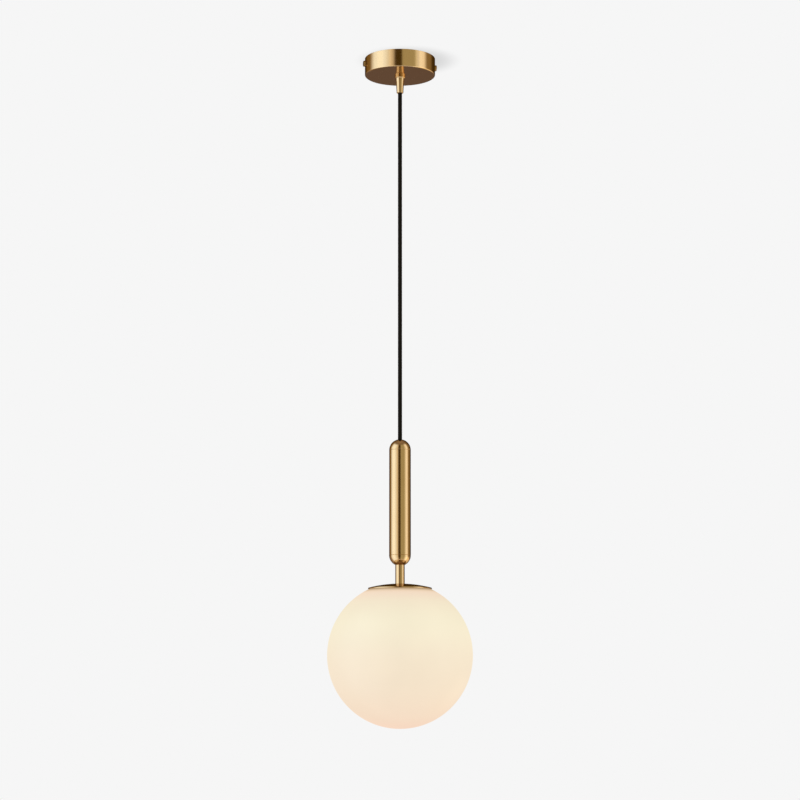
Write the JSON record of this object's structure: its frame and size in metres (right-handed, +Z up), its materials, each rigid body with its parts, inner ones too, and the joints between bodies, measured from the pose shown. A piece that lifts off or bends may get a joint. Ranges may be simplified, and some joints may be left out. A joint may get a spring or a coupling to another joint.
{
  "type": "pendant ceiling light",
  "caption": "Globe pendant light: round ceiling cup, straight hanging cord, slim metal capsule, stem and domed cap over an opal glass globe with a bulb inside.",
  "frame": {"origin": "on the ceiling plane, at the middle of the mounting bracket between its two screw slots", "axes": "+Z up into the ceiling, +X along the bracket through both screw slots and both side screws, the lamp hangs down -Z"},
  "size_m": [0.2, 0.2, 0.9442],
  "materials": {
    "satin_brass": "satin brushed and lacquered",
    "plain_brass": "turned, bare",
    "zinc_steel": "zinc plated",
    "nickel": "nickel plated",
    "spring_steel": "bright rolled strip",
    "white_plastic": "moulded",
    "black_plastic": "moulded",
    "porcelain": "glazed",
    "black_braid": "braided textile",
    "brown_wire": "extruded",
    "blue_wire": "extruded",
    "earth_wire": "extruded",
    "core_wires": "extruded",
    "opal_glass": "opal, acid etched",
    "bulb_opal": "frosted",
    "gasket": "moulded"
  },
  "bodies": {
    "ceiling_fitting": {"mounting_bracket": "zinc_steel", "earth_screw": "plain_brass", "earth_terminal": "nickel", "canopy_cover": "satin_brass", "side_screws": "satin_brass", "terminal_block": "white_plastic", "terminal_inserts": "plain_brass", "terminal_screws": "nickel", "terminal_fixing_screw": "nickel", "grip_nipple": "zinc_steel", "grip_locknut": "zinc_steel", "grip_washer": "zinc_steel", "grip_collar": "satin_brass", "grip_cone": "satin_brass", "grip_collet": "white_plastic", "cord_tail": "black_braid", "live_wire": "brown_wire", "neutral_wire": "blue_wire", "earth_wire": "earth_wire"},
    "cord_flex": {"cord_bend": "black_braid"},
    "pendant": {"cord": "black_braid", "capsule_top": "satin_brass", "capsule_tube": "satin_brass", "capsule_bottom": "satin_brass", "cord_clamp": "white_plastic", "clamp_screws": "zinc_steel", "capsule_cord": "black_braid", "threaded_rod": "zinc_steel", "rod_nut": "zinc_steel", "rod_washer": "zinc_steel", "stem_sleeve": "satin_brass", "globe_cap": "satin_brass", "cap_gasket": "gasket", "dome_seat": "zinc_steel", "globe_spring": "spring_steel", "spring_washer": "zinc_steel", "holder_nut": "zinc_steel", "holder_cap": "black_plastic", "holder_core": "porcelain", "holder_terminals": "plain_brass", "centre_contact": "plain_brass", "screw_shell": "nickel", "holder_shell": "black_plastic", "holder_wires": "core_wires"},
    "globe": {"globe_glass": "opal_glass"},
    "bulb": {"bulb_screw_cap": "nickel", "bulb_insulator": "black_plastic", "bulb_contact": "nickel", "bulb_housing": "white_plastic", "bulb_diffuser": "bulb_opal"}
  },
  "joints": [
    {"name": "swing_x", "type": "hinge", "parent": "ceiling_fitting", "child": "cord_flex", "pos_m": [0, 0, -0.05], "axis": [1, 0, 0], "range_deg": [-20, 20], "deforming": ["cord_bend"]},
    {"name": "swing_y", "type": "hinge", "parent": "cord_flex", "child": "pendant", "pos_m": [0, 0, -0.05], "axis": [0, 1, 0], "range_deg": [-20, 20], "deforming": ["cord_bend"]},
    {"name": "globe_slide", "type": "slide", "parent": "pendant", "child": "globe", "axis": [0, 0, -1], "range_m": [0, 0.15], "deforming": ["globe_spring"]},
    {"name": "bulb_slide", "type": "slide", "parent": "pendant", "child": "bulb", "axis": [0, 0, -1], "range_m": [0, 0.03]}
  ]
}
